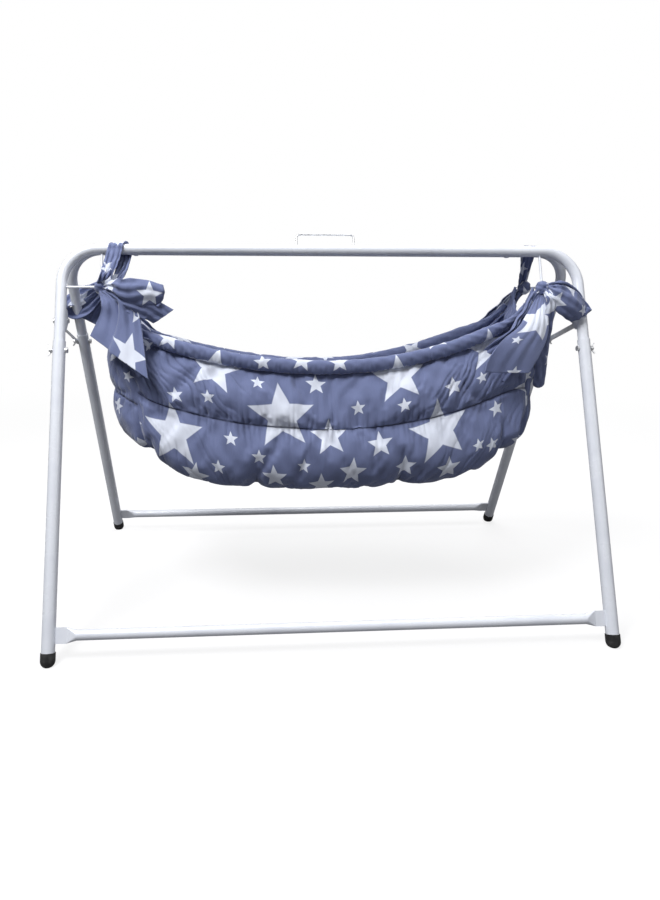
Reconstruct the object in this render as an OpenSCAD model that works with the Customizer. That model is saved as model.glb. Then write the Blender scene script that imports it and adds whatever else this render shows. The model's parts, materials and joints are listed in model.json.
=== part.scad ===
// Folding baby cradle. Two inverted-U tube frames lie side by side along the top rail and open into
// an A. A padded cloth bed hangs between them from wire rods in the four upper corners.
// Millimetres, +Z up, front towards -Y, origin on the floor under the middle of the rails.

/* [Frames] */
// Distance between the two leg centres of a frame
frame_w = 1100; // [910:10:1320]
// Height of the rail centres above the floor
rail_h = 767; // [639:1:920]
// Distance between the front and the back leg centres at the floor
foot_depth = 662; // [540:2:760]
// Outer diameter of the bent upper tubes
tube_d = 22; // [18:0.5:26]
// Wall of the upper tubes
tube_wall = 1.5; // [1:0.1:2.5]
// Centre-line radius of the upper corners
corner_r = 75; // [60:1:100]
// Gap between the two rails
rail_gap = 3; // [3:0.5:8]
// Distance down the leg from the rail centre to the top of the lower leg
sleeve_top = 199; // [180:1:230]
// Wall of the lower legs, which slip over the upper tubes
sleeve_wall = 1.2; // [0.8:0.1:2]
// Length of upper tube inside the lower leg
plug_len = 56; // [40:1:90]
// Radial gap between the upper tube and the lower leg
plug_gap = 0.3; // [0.1:0.05:0.5]

/* [Feet and crossbars] */
// Height of the crossbar centres above the floor
bar_h = 51; // [40:1:120]
// Outer diameter of the crossbars
bar_d = 20; // [16:0.5:24]
// Wall of the crossbars
bar_wall = 1.2; // [0.8:0.1:2]
// Height of a crossbar's pinched end
pinch_h = 30; // [26:1:36]
// Thickness of a crossbar's pinched end
pinch_t = 3.2; // [2.6:0.1:5]
// Wall of the foot caps
cap_wall = 1.3; // [1:0.1:3]
// Length of leg inside a foot cap
cap_len = 14; // [10:1:30]
// Rubber between the leg end and the floor, along the leg
cap_floor = 10; // [8:0.5:20]

/* [Rods, handle and fasteners] */
// Diameter of the corner rods
rod_d = 5; // [4:0.5:7]
// Height from the rail centre down to a corner rod's elbow
rod_drop = 77; // [70:1:95]
// Length of a corner rod from the leg centre to its elbow
rod_reach = 81; // [78:1:110]
// Bend radius of a corner rod's elbow
rod_bend = 9; // [6:1:14]
// Diameter of the carry handle's wire
handle_wire = 4; // [3:0.5:6]
// Distance between the carry handle's legs
handle_w = 123; // [90:1:180]
// Height of the carry handle above the rail centre
handle_h = 38; // [28:1:60]
// Diameter of the leg bolts
bolt_d = 6; // [5:0.5:8]
// Distance down the leg from the rail centre to the leg bolt
bolt_drop = 218; // [205:1:245]
// Radial gap around bolts, pins and rods in their holes
hole_gap = 0.1; // [0.05:0.05:0.3]

/* [Hinge and stays] */
// Distance of each hinge inside the leg centre
hinge_inset = 148; // [146:1:240]
// Height from the rail centre down to the hinge pins
hinge_drop = 9; // [8.5:0.5:14]
// Diameter of the hinge pins
hinge_pin_d = 4; // [3:0.5:4]
// Thickness of a hinge lug
lug_t = 3; // [2:0.5:4]
// Distance down the leg from the rail centre to the stay bracket
bracket_drop = 150; // [135:1:165]
// Distance of the stay's hook pin behind the leg centre
hook_pin_out = 17; // [16:0.5:19]
// Thickness of the stays
stay_t = 3; // [2:0.5:4]
// Width of the left stay
left_stay_w = 5; // [4:0.5:12]
// Width of the right stay
right_stay_w = 11; // [4:0.5:12]
// Diameter of the stays' round ends
stay_end_d = 13; // [12:0.5:15]

/* [Cloth bed] */
// Width of the bed at its belly
bed_w = 334; // [280:2:400]
// Width of the mouth at the middle
mouth_w = 220; // [150:2:260]
// Depth of the front wall's low point below the rails
front_drop = 249; // [200:1:280]
// Depth of the back wall's low point below the rails
back_drop = 270; // [200:1:280]
// Depth of the end walls' low point below the rails
end_drop = 127; // [115:1:160]
// Share of the rims' rise that comes only at the left corners
left_late_rise = 0.5; // [0.2:0.01:0.7]
// Share of the rims' rise that comes only at the right corners
right_late_rise = 0.32; // [0.2:0.01:0.7]
// Depth of the bottom of the bed below the rails
bed_drop = 505; // [450:1:560]
// Distance of the base's corners inside the bed's necks
base_inset = 84; // [60:1:160]
// Rise of the base from its middle to its corners
base_rise = 100; // [20:1:120]
// Width of the padded base
base_w = 256; // [200:2:290]
// Thickness of the padded base
base_t = 29; // [15:1:40]
// Thickness of the padded walls
wall_t = 12; // [8:0.5:14]
// Radius of the rim rolls
rim_r = 11; // [6:0.5:12]
// Radius of the tie knots
knot_r = 12.7; // [10:0.1:13.5]
// Thickness of a bow's folded loops
bow_t = 8; // [5:0.5:10]
// Width of the straps over the rails
strap_w = 24; // [16:1:26]
// Thickness of the loose corner cuffs
cuff_t = 3; // [2:0.5:5]
// Thickness of the strap cloth
strap_t = 1.5; // [1:0.1:2]

/* [Hidden] */
$fn = 48;

white_paint = "whitesmoke";
zinc = "silver";
black_rubber = "#202020";
print_cloth = "#6f7ea6";
lining_cloth = "#4c5470";

// Seating gap of soft pieces and loose fits
seat = 0.3;
over = 1;
tube_r = tube_d / 2;
rail_y = tube_r + rail_gap / 2;
lean = atan((foot_depth / 2 - rail_y) / rail_h);
leg_x = frame_w / 2;
sleeve_bore_r = tube_r + plug_gap;
leg_r = sleeve_bore_r + sleeve_wall;
leg_end = (rail_h - cap_floor) / cos(lean);
cap_r = leg_r + cap_wall + hole_gap;
bar_s = (rail_h - bar_h) / cos(lean);
pinch_l = 20;
rod_s = rod_drop / cos(lean);
elbow_x = leg_x - rod_reach;
elbow_y = rail_y + rod_drop * tan(lean);
elbow_h = rail_h - rod_drop;
hinge_x = leg_x - hinge_inset;
hinge_h = rail_h - hinge_drop;
eye_r = hinge_pin_d / 2 + 2;

// Bolts along X: round head inside the leg, wing nut outside it
head_t = 4.5;
head_r = 5.5;
nut_t = 5;
nut_r = 5;
wing_l = 12;
stay_x = leg_x + leg_r + seat;
nut_front_x = leg_x + leg_r + seat;
nut_back_x = stay_x + stay_t + seat;

// Hook pin of a stay and the bolt that it turns on, as [y, z] on the front and the back frame
pin_y = -rail_y - bracket_drop * sin(lean) + hook_pin_out * cos(lean);
pin_h = rail_h - bracket_drop * cos(lean) - hook_pin_out * sin(lean);
turn_y = rail_y + bolt_drop * sin(lean);
turn_h = rail_h - bolt_drop * cos(lean);
stay_len = sqrt((pin_y - turn_y) ^ 2 + (pin_h - turn_h) ^ 2);
stay_angle = atan2(pin_h - turn_h, pin_y - turn_y);
hook_pin_r = 2.5;
ear_t = 2.5;
pin_head_t = 2.5;

// Cloth bed: its corners rise to the elbows and stop just inside the knots
neck_x = elbow_x - knot_r - seat;
strap_front_x = elbow_x - 44;
strap_back_x = elbow_x - 17;
front_left_tips = [[-118, -16, 9], [-138, -52, 10]];
front_right_tips = [[92, -42, 10], [70, -66, 9]];
back_left_tips = [[96, -44, 11], [52, -70, 8]];
bed_bottom_h = rail_h - bed_drop;
base_top = bed_bottom_h + base_t + seat;
core_h = rail_h - 0.55 * bed_drop;
base_x = neck_x - base_inset;
base_end_x = base_x + 16;

function lerp(a, b, t) = a + (b - a) * t;
function bez(p, t) =
    p[0] * (1 - t) ^ 3 + 3 * p[1] * t * (1 - t) ^ 2 + 3 * p[2] * t ^ 2 * (1 - t) + p[3] * t ^ 3;
function unit(v) = v / norm(v);

// Half lengths and half widths of the bed from its rim (0) to its base (1), at its corners and middles
function corner_half_l(v) = bez([neck_x, neck_x - 40, neck_x - 10, base_x], v);
function end_half_l(v) = bez([neck_x - 8, neck_x + 22, neck_x + 14, base_end_x], v);
function middle_half_w(v) = bez([mouth_w / 2, bed_w * 0.55, bed_w * 0.55, base_w / 2], v);
function corner_half_w(v) = bez([elbow_y, bed_w * 0.36, bed_w * 0.44, base_w * 0.43], v);

// How far the base has risen at a distance from its middle
function rise_at(x) = base_rise * (abs(x) / base_x) ^ 3;

// Height of a long wall's top edge: s runs from the left corner (-1) to the right one (1)
function rim_at(s, drop) =
    rail_h - lerp(drop, rod_drop, lerp(abs(s) ^ 2, abs(s) ^ 14, s < 0 ? left_late_rise : right_late_rise));

// Point on a long wall
function long_at(s, v, drop) = [
    s * corner_half_l(v),
    -lerp(middle_half_w(v), corner_half_w(v), abs(s) ^ 3),
    lerp(rim_at(s, drop), base_top + rise_at(s * base_x), sin(90 * v))
];

// Point on the right end wall: s runs from the front corner (-1) to the back one (1)
function end_at(s, v) = [
    lerp(end_half_l(v), corner_half_l(v), abs(s) ^ 3),
    s * corner_half_w(v),
    lerp(rail_h - lerp(end_drop, rod_drop, s * s),
        base_top + rise_at(lerp(base_end_x, base_x, abs(s) ^ 3)), sin(90 * v))
];

// A wall point moved by t towards the bed's core
function inward(p, t) = p + t * unit([0.85 * p.x, 0, core_h] - p);

// ---- shapes ----

// Puts a piece drawn for the front right leg's plane in any corner: x across, z up the leg, y behind it
module in_frame(left, back) {
    mirror([left ? 1 : 0, 0, 0]) mirror([0, back ? 1 : 0, 0])
        translate([0, -rail_y, rail_h]) rotate([-lean, 0, 0]) children();
}

module along_x(x, len, r) {
    translate([x, 0, 0]) rotate([0, 90, 0]) cylinder(r = r, h = len);
}

module bent_u(r, bottom) {
    straight = leg_x - corner_r;
    along_x(-straight, 2 * straight, r);
    for (side = [0, 1]) mirror([side, 0, 0]) {
        translate([straight, 0, -corner_r]) rotate([90, 0, 0])
            rotate_extrude(angle = 90) translate([corner_r, 0]) circle(r = r);
        translate([leg_x, 0, -bottom]) cylinder(r = r, h = bottom - corner_r);
    }
}

module bolt_hole() {
    translate([0, 0, -bolt_drop]) along_x(leg_x - 2 * leg_r, 4 * leg_r, bolt_d / 2 + hole_gap);
}

module top_tube(back) {
    color(white_paint) in_frame(false, back) difference() {
        bent_u(tube_r, sleeve_top + plug_len);
        bent_u(tube_r - tube_wall, sleeve_top + plug_len + over);
        for (side = [0, 1]) mirror([side, 0, 0]) {
            bolt_hole();
            if (!back) translate([handle_w / 2, 0, 0])
                cylinder(r = handle_wire / 2 + hole_gap, h = tube_d);
        }
    }
}

module leg(left, back) {
    color(white_paint) in_frame(left, back) difference() {
        translate([leg_x, 0, -leg_end]) cylinder(r = leg_r, h = leg_end - sleeve_top);
        translate([leg_x, 0, -leg_end - over])
            cylinder(r = sleeve_bore_r, h = leg_end - sleeve_top + 2 * over);
        bolt_hole();
    }
}

// Rubber cap with a round end, cut flat where it stands on the floor
module foot(left, back) {
    color(black_rubber) intersection() {
        in_frame(left, back) translate([leg_x, 0, 0]) difference() {
            union() {
                translate([0, 0, -leg_end]) cylinder(r = cap_r, h = cap_len);
                translate([0, 0, -leg_end]) sphere(r = cap_r);
            }
            translate([0, 0, -leg_end]) cylinder(r = leg_r + hole_gap, h = cap_len + cap_r);
        }
        translate([-frame_w, -foot_depth, 0]) cube([2 * frame_w, 2 * foot_depth, rail_h]);
    }
}

// Round tube whose ends are pinched flat and cut to the legs
module crossbar(back) {
    pinch_x = leg_x - leg_r - pinch_l;
    color(white_paint) in_frame(false, back) translate([0, 0, -bar_s]) difference() {
        union() {
            along_x(-pinch_x + pinch_l, 2 * (pinch_x - pinch_l), bar_d / 2);
            for (side = [0, 1]) mirror([side, 0, 0]) {
                hull() {
                    along_x(pinch_x - pinch_l, 0.1, bar_d / 2);
                    translate([pinch_x, -pinch_t / 2, -pinch_h / 2]) cube([0.1, pinch_t, pinch_h]);
                }
                translate([pinch_x, -pinch_t / 2, -pinch_h / 2])
                    cube([leg_x - pinch_x, pinch_t, pinch_h]);
            }
        }
        along_x(-pinch_x + pinch_l, 2 * (pinch_x - pinch_l), bar_d / 2 - bar_wall);
        for (x = [-leg_x, leg_x]) translate([x, 0, -pinch_h]) cylinder(r = leg_r, h = 2 * pinch_h);
    }
}

// Wire elbow: one end on the rail's underside, the other on the leg's inner side
module elbow_wire(r) {
    translate([elbow_x, 0, rod_bend - rod_s]) cylinder(r = r, h = rod_s - rod_bend);
    translate([elbow_x + rod_bend, 0, rod_bend - rod_s]) rotate([90, 0, 0])
        rotate_extrude(angle = 90, start = 180) translate([rod_bend, 0]) circle(r = r);
    translate([0, 0, -rod_s]) along_x(elbow_x + rod_bend, rod_reach - rod_bend, r);
}

module corner_rod(left, back) {
    color(white_paint) in_frame(left, back) difference() {
        elbow_wire(rod_d / 2);
        bent_u(tube_r, rod_s + tube_d);
    }
}

module leg_bolt(left, back) {
    nut_x = back ? nut_back_x : nut_front_x;
    head_x = leg_x - leg_r - head_t;
    color(zinc) in_frame(left, back) translate([0, 0, -bolt_drop]) {
        along_x(head_x + over, nut_x + nut_t + 2 - head_x - over, bolt_d / 2);
        along_x(head_x, head_t, head_r);
    }
}

// Hub with two wings that flare away from the leg
module wing_nut(left, back) {
    nut_x = back ? nut_back_x : nut_front_x;
    color(zinc) in_frame(left, back) translate([0, 0, -bolt_drop]) difference() {
        union() {
            along_x(nut_x, nut_t, nut_r);
            for (side = [0, 1]) mirror([0, 0, side]) rotate([90, 0, 0])
                linear_extrude(2, center = true) polygon([
                    [nut_x + 1, nut_r - 2], [nut_x + nut_t, nut_r - 2],
                    [nut_x + nut_t + 6, wing_l - 1], [nut_x + nut_t + 3, wing_l]
                ]);
        }
        along_x(nut_x - over, nut_t + 12, bolt_d / 2 + hole_gap);
    }
}

// Channel welded behind the upper tube, its two ears drilled for the hook pin
module stay_bracket(left) {
    inner_x = leg_x - tube_r + 1;
    outer_x = leg_x + leg_r - seat;
    color(white_paint) in_frame(left, false) translate([0, 0, -bracket_drop]) difference() {
        translate([inner_x, 0, 0]) rotate([90, 0, 90]) linear_extrude(outer_x - inner_x)
            polygon([
                [4, -22], [12, -22], [hook_pin_out + 4.5, -4], [hook_pin_out + 5, 0],
                [hook_pin_out + 4.5, 4], [12, 22], [4, 22]
            ]);
        translate([leg_x, 0, -50]) cylinder(r = tube_r, h = 100);
        translate([inner_x + ear_t, tube_r + 2, -50])
            cube([outer_x - inner_x - 2 * ear_t, hook_pin_out, 100]);
        translate([0, hook_pin_out, 0]) along_x(inner_x - over, 3 * tube_r, hook_pin_r + hole_gap);
    }
}

module hook_pin(left) {
    inner_x = leg_x - tube_r + 1 - seat;
    outer_x = stay_x + stay_t + seat;
    color(zinc) in_frame(left, false) translate([0, hook_pin_out, -bracket_drop]) {
        along_x(inner_x - pin_head_t, outer_x - inner_x + 2 * pin_head_t, hook_pin_r);
        along_x(inner_x - pin_head_t, pin_head_t, 2 * hook_pin_r);
        along_x(outer_x, pin_head_t, 2 * hook_pin_r);
    }
}

// Wire staple whose ends pass through the front rail's top
module carry_handle() {
    wire_r = handle_wire / 2;
    bend = 8;
    top = handle_h - wire_r;
    color(zinc) in_frame(false, false) {
        translate([0, 0, top]) along_x(bend - handle_w / 2, handle_w - 2 * bend, wire_r);
        for (side = [0, 1]) mirror([side, 0, 0]) {
            translate([handle_w / 2 - bend, 0, top - bend]) rotate([90, 0, 0])
                rotate_extrude(angle = 90) translate([bend, 0]) circle(r = wire_r);
            translate([handle_w / 2, 0, tube_r / 2]) cylinder(r = wire_r, h = top - bend - tube_r / 2);
        }
    }
}

module hinge_lug(left, back) {
    lug_x = hinge_x + (back ? seat : -lug_t);
    color(white_paint) mirror([left ? 1 : 0, 0, 0]) mirror([0, back ? 1 : 0, 0])
        translate([lug_x, 0, hinge_h]) rotate([90, 0, 90]) linear_extrude(lug_t) difference() {
            union() {
                circle(r = eye_r);
                rotate(atan2(hinge_drop, -rail_y)) translate([0, -eye_r]) square([rail_y, 2 * eye_r]);
            }
            circle(r = hinge_pin_d / 2 + hole_gap);
            translate([-rail_y, hinge_drop]) circle(r = tube_r);
            translate([rail_y, hinge_drop]) circle(r = tube_r + seat);
        }
}

module hinge_pin(left) {
    head = 1.5;
    start = hinge_x - lug_t - seat - head;
    stop = hinge_x + lug_t + 2 * seat + head;
    color(zinc) mirror([left ? 1 : 0, 0, 0]) translate([0, 0, hinge_h]) {
        along_x(start, stop - start, hinge_pin_d / 2);
        along_x(start, head, eye_r - 0.6);
        along_x(stop - head, head, eye_r - 0.6);
    }
}

// Flat bar that turns on a back leg's bolt. Its hook drops over the pin behind the front leg.
module stay(left) {
    width = left ? left_stay_w : right_stay_w;
    hook_r = hook_pin_r + seat;
    color(zinc) mirror([left ? 1 : 0, 0, 0]) translate([stay_x, turn_y, turn_h]) rotate([90, 0, 90])
        rotate(stay_angle) linear_extrude(stay_t) difference() {
            union() {
                circle(d = stay_end_d);
                translate([0, -width / 2]) square([stay_len, width]);
                translate([stay_len, 0]) circle(d = stay_end_d);
            }
            circle(r = bolt_d / 2 + hole_gap);
            translate([stay_len, 0]) circle(r = hook_r);
            translate([stay_len, 0]) polygon([
                [hook_r, 0], [hook_r, stay_end_d], [-stay_end_d, stay_end_d],
                [-1.5 * hook_r, 0], [-0.9 * hook_r, -0.8 * hook_r]
            ]);
        }
}

// ---- cloth ----

module knot(left, back) {
    color(print_cloth) in_frame(left, back) difference() {
        translate([elbow_x, 0, -rod_s]) sphere(r = knot_r);
        elbow_wire(rod_d / 2 + seat);
    }
}

// Two flat loops that spread from the knot: tips are [x, height] away from the elbow
module bow(left, back, tips) {
    color(print_cloth) in_frame(left, back) translate([elbow_x, -knot_r - seat, -rod_s])
        rotate([90, 0, 0]) linear_extrude(bow_t) for (tip = tips) hull() {
            circle(r = 7);
            translate(tip) circle(r = tip.z);
        }
}

// Cloth band around a rail, with its tail running down to the knot
module strap(left, back, x) {
    ring_r = tube_r + seat;
    color(print_cloth) in_frame(left, back) {
        difference() {
            along_x(x - strap_w / 2, strap_w, ring_r + strap_t);
            along_x(x - strap_w, 2 * strap_w, ring_r);
        }
        hull() {
            translate([x - strap_w / 2, -ring_r - strap_t, -2]) cube([strap_w, strap_t, 1]);
            translate([elbow_x - 7, -knot_r - seat - strap_t, 8 - rod_s]) cube([14, strap_t, 1]);
        }
    }
}

module tail() {
    color(print_cloth) translate([elbow_x + 1, -elbow_y - 5, elbow_h - knot_r - 212])
        cube([25, 3, 212 - 1.2 * seat]);
}

// Closed panel between two offsets of a wall function, drawn as triangles over a grid
module panel(at, s0, s1, v0, v1, t0, t1, ns, nv) {
    row = nv + 1;
    side = (ns + 1) * row;
    points = [
        for (t = [t0, t1]) for (i = [0 : ns]) for (j = [0 : nv])
            inward(at(lerp(s0, s1, i / ns), lerp(v0, v1, j / nv)), t)
    ];
    outer = [for (i = [0 : ns - 1]) for (j = [0 : nv - 1]) let (a = i * row + j)
        each [[a, a + row, a + row + 1], [a, a + row + 1, a + 1]]];
    inner = [for (f = outer) [f[2] + side, f[1] + side, f[0] + side]];
    top = [for (i = [0 : ns - 1]) let (a = i * row)
        each [[a, a + side, a + row + side], [a, a + row + side, a + row]]];
    foot = [for (i = [0 : ns - 1]) let (a = i * row + nv)
        each [[a, a + row, a + row + side], [a, a + row + side, a + side]]];
    start = [for (j = [0 : nv - 1]) each [[j, j + 1, j + 1 + side], [j, j + 1 + side, j + side]]];
    stop = [for (j = [0 : nv - 1]) let (a = ns * row + j)
        each [[a, a + side, a + 1 + side], [a, a + 1 + side, a + 1]]];
    polyhedron(points = points, faces = concat(outer, inner, top, foot, start, stop));
}

module long_wall(back) {
    drop = back ? back_drop : front_drop;
    color(print_cloth) mirror([0, back ? 1 : 0, 0])
        panel(function(s, v) long_at(s, v, drop), -1, 1, 0, 1, 0, wall_t, 28, 12);
}

module end_wall(left) {
    color(print_cloth) mirror([left ? 1 : 0, 0, 0])
        panel(function(s, v) end_at(s, v), -0.99, 0.99, 0, 1, 0, wall_t, 10, 12);
}

// Roll sewn along a rim: a tube swept just above the wall's top edge
module rim(back) {
    ends = 0.92;
    lift = rim_r + 2 * seat;
    rings = 32;
    sides = 10;
    drop = back ? back_drop : front_drop;
    top_edge = [for (i = [0 : rings]) long_at(lerp(-ends, ends, i / rings), 0, drop)];
    ahead = [for (i = [0 : rings]) unit(top_edge[min(i + 1, rings)] - top_edge[max(i - 1, 0)])];
    up = [for (t = ahead) unit([0, 0, 1] - t.z * t)];
    points = [for (i = [0 : rings]) for (k = [0 : sides - 1])
        top_edge[i] + lift * up[i] + rim_r * (
            cos(360 * k / sides) * up[i] + sin(360 * k / sides) * cross(ahead[i], up[i]))];
    skin = [for (i = [0 : rings - 1]) for (k = [0 : sides - 1])
        let (a = i * sides + k, b = i * sides + (k + 1) % sides)
        each [[a, b, b + sides], [a, b + sides, a + sides]]];
    caps = [[for (k = [sides - 1 : -1 : 0]) k], [for (k = [0 : sides - 1]) rings * sides + k]];
    color(lining_cloth) mirror([0, back ? 1 : 0, 0]) polyhedron(points = points, faces = concat(skin, caps));
}

// Loose cloth hanging over the bed's front corner
module cuff(left, s0, v0, v1) {
    gap = 3 * seat;
    color(print_cloth) mirror([left ? 1 : 0, 0, 0])
        panel(function(s, v) long_at(s, v, front_drop), s0, 0.985, v0, v1, -gap - cuff_t, -gap, 6, 8);
}

// Slab whose ends rise, cut to the line of the walls' lower edges
module base_pad() {
    steps = 16;
    under = [for (i = [-steps : steps]) let (x = base_end_x * i / steps) [x, bed_bottom_h + rise_at(x)]];
    above = [for (i = [2 * steps : -1 : 0]) under[i] + [0, base_t]];
    front = [for (i = [-steps : steps]) let (p = long_at(i / steps, 1, front_drop)) [p.x, p.y]];
    right = [for (i = [1 - steps : steps - 1]) let (p = end_at(i / steps, 1)) [p.x, p.y]];
    color(print_cloth) intersection() {
        rotate([90, 0, 0]) linear_extrude(base_w, center = true) polygon(concat(under, above));
        linear_extrude(rail_h) polygon(concat(front, right, -front, -right));
    }
}

top_tube(false);  // front_top_tube
leg(true, false);  // front_left_leg
leg(false, false);  // front_right_leg
crossbar(false);  // front_crossbar
foot(true, false);  // front_left_foot
foot(false, false);  // front_right_foot
corner_rod(true, false);  // front_left_rod
corner_rod(false, false);  // front_right_rod
leg_bolt(true, false);  // front_left_bolt
leg_bolt(false, false);  // front_right_bolt
wing_nut(true, false);  // front_left_wing_nut
wing_nut(false, false);  // front_right_wing_nut
stay_bracket(true);  // left_stay_bracket
stay_bracket(false);  // right_stay_bracket
hook_pin(true);  // left_hook_pin
hook_pin(false);  // right_hook_pin
carry_handle();
hinge_lug(true, false);  // front_left_hinge_lug
hinge_lug(false, false);  // front_right_hinge_lug
hinge_pin(true);  // left_hinge_pin
hinge_pin(false);  // right_hinge_pin
strap(true, false, strap_front_x);  // front_left_strap
knot(true, false);  // front_left_knot
bow(true, false, front_left_tips);  // front_left_bow
knot(false, false);  // front_right_knot
bow(false, false, front_right_tips);  // front_right_bow
tail();  // front_right_tail
top_tube(true);  // back_top_tube
leg(true, true);  // back_left_leg
leg(false, true);  // back_right_leg
crossbar(true);  // back_crossbar
foot(true, true);  // back_left_foot
foot(false, true);  // back_right_foot
corner_rod(true, true);  // back_left_rod
corner_rod(false, true);  // back_right_rod
leg_bolt(true, true);  // back_left_bolt
leg_bolt(false, true);  // back_right_bolt
wing_nut(true, true);  // back_left_wing_nut
wing_nut(false, true);  // back_right_wing_nut
hinge_lug(true, true);  // back_left_hinge_lug
hinge_lug(false, true);  // back_right_hinge_lug
knot(true, true);  // back_left_knot
bow(true, true, back_left_tips);  // back_left_bow
strap(false, true, strap_back_x);  // back_right_strap
knot(false, true);  // back_right_knot
stay(true);  // left_stay
stay(false);  // right_stay
long_wall(false);  // front_wall
long_wall(true);  // back_wall
end_wall(true);  // left_end
end_wall(false);  // right_end
base_pad();
rim(false);  // front_rim
rim(true);  // back_rim
cuff(true, 0.8, 0.1, 0.4);  // left_front_cuff
cuff(false, 0.72, 0.25, 0.55);  // right_front_cuff
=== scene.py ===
# Folding baby cradle: a tube frame that opens into an A, and a padded cloth bed tied into its corners.
# Lengths are metres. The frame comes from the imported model, and the cloth is made here around it.
import json
import math

import bpy
import numpy as np
from mathutils import Matrix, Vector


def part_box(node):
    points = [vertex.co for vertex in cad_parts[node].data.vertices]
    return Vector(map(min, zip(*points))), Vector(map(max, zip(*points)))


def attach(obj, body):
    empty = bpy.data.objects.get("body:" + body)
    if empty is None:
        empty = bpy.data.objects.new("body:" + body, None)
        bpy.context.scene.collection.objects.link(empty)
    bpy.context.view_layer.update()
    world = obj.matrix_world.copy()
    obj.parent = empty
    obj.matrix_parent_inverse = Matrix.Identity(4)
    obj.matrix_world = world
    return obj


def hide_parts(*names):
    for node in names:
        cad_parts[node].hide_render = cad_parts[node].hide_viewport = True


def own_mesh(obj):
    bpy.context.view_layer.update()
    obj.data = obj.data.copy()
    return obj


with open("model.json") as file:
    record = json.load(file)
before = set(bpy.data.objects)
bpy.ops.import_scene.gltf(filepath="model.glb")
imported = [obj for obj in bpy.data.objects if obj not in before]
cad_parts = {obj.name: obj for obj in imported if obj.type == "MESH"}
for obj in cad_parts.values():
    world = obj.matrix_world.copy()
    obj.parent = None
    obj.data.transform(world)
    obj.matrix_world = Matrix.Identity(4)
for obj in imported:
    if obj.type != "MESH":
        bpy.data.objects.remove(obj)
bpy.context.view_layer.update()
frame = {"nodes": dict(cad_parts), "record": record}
scene = bpy.context.scene
print("frame loaded:", len(frame["nodes"]), "nodes")


def middleOf(node):
    low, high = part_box(node)
    return (np.array(low) + np.array(high)) / 2


camera = dict(place=(-0.166, -1.3641, 0.7051), turnRight=3.62, lookDown=13.791, roll=0.174,
              lens=24.436, shift=(0.0474, -0.022))


def makeCamera(settings):
    data = bpy.data.cameras.new("camera")
    data.sensor_width = 36
    data.lens = settings["lens"]
    data.shift_x, data.shift_y = settings["shift"]
    data.clip_end = 60
    cam = bpy.data.objects.new("camera", data)
    turn = Matrix.Rotation(-math.radians(settings["turnRight"]), 4, "Z")
    tilt = Matrix.Rotation(math.radians(90 - settings["lookDown"]), 4, "X")
    roll = Matrix.Rotation(math.radians(settings["roll"]), 4, "Z")
    cam.matrix_world = Matrix.Translation(settings["place"]) @ turn @ tilt @ roll
    scene.collection.objects.link(cam)
    scene.camera = cam


lights = dict(
    world=0.17, backdrop=1.0,
    # The floor fades into the backdrop between the two distances of floorFade
    floor=(0.20, 0.20, 0.205), floorGlow=(0.80, 1.0), floorFade=(0.9, 3.2),
    lamps=[  # name, place, target, size, watts
        ("key", (-1.3, -1.1, 2.8), (0, 0, 0.45), 1.0, 88),
        ("fill", (1.9, -1.6, 1.7), (0, 0, 0.5), 1.6, 10),
        ("top", (0.3, 0.3, 2.9), (0, 0, 0.5), 1.5, 40),
        ("back", (0.9, 2.3, 1.6), (0, 0, 0.5), 1.8, 24),
    ])


def makeStudio(settings):
    world = bpy.data.worlds.new("studio")
    world.use_nodes = True
    ground = world.node_tree.nodes["Background"]
    ground.inputs["Color"].default_value = (1, 1, 1, 1)
    seen = world.node_tree.nodes.new("ShaderNodeLightPath").outputs["Is Camera Ray"]
    share = world.node_tree.nodes.new("ShaderNodeMapRange")
    share.inputs["To Min"].default_value = settings["world"]
    share.inputs["To Max"].default_value = settings["backdrop"]
    world.node_tree.links.new(seen, share.inputs["Value"])
    world.node_tree.links.new(share.outputs[0], ground.inputs["Strength"])
    scene.world = world
    for name, place, target, size, watts in settings["lamps"]:
        data = bpy.data.lights.new(name, "AREA")
        data.size = size
        data.energy = watts
        lamp = bpy.data.objects.new(name, data)
        look = (Matrix.Translation(place).translation - Matrix.Translation(target).translation)
        lamp.matrix_world = Matrix.Translation(place) @ look.to_track_quat("Z", "Y").to_matrix().to_4x4()
        scene.collection.objects.link(lamp)
    mesh = bpy.data.meshes.new("floor")
    half = 9  # half the floor's side
    corners = [(-half, -half, 0), (half, -half, 0), (half, half, 0), (-half, half, 0)]
    mesh.from_pydata(corners, [], [(0, 1, 2, 3)])
    floor = bpy.data.objects.new("floor", mesh)
    scene.collection.objects.link(floor)
    paint = bpy.data.materials.new("floor")
    paint.use_nodes = True
    shader = paint.node_tree.nodes["Principled BSDF"]
    net = Net(paint.node_tree)
    far = net.vector("LENGTH", net.node("ShaderNodeTexCoord").outputs["Object"])
    fade = net.node("ShaderNodeMapRange", [far, *settings["floorFade"], 0.0, 1.0],
                    interpolation_type="SMOOTHSTEP")
    colour = net.mix(fade.outputs[0], (*settings["floor"], 1), (0, 0, 0, 1))
    paint.node_tree.links.new(colour, shader.inputs["Base Color"])
    shader.inputs["Roughness"].default_value = 0.9
    shader.inputs["Specular IOR Level"].default_value = 0.0
    shader.inputs["Emission Color"].default_value = (1, 1, 1, 1)
    glow = net.node("ShaderNodeMapRange", [fade.outputs[0], 0.0, 1.0, *settings["floorGlow"]])
    seen = net.node("ShaderNodeLightPath").outputs["Is Camera Ray"]
    paint.node_tree.links.new(net.math("MULTIPLY", seen, glow.outputs[0]), shader.inputs["Emission Strength"])
    mesh.materials.append(paint)
    scene.view_settings.view_transform = "Standard"


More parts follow.
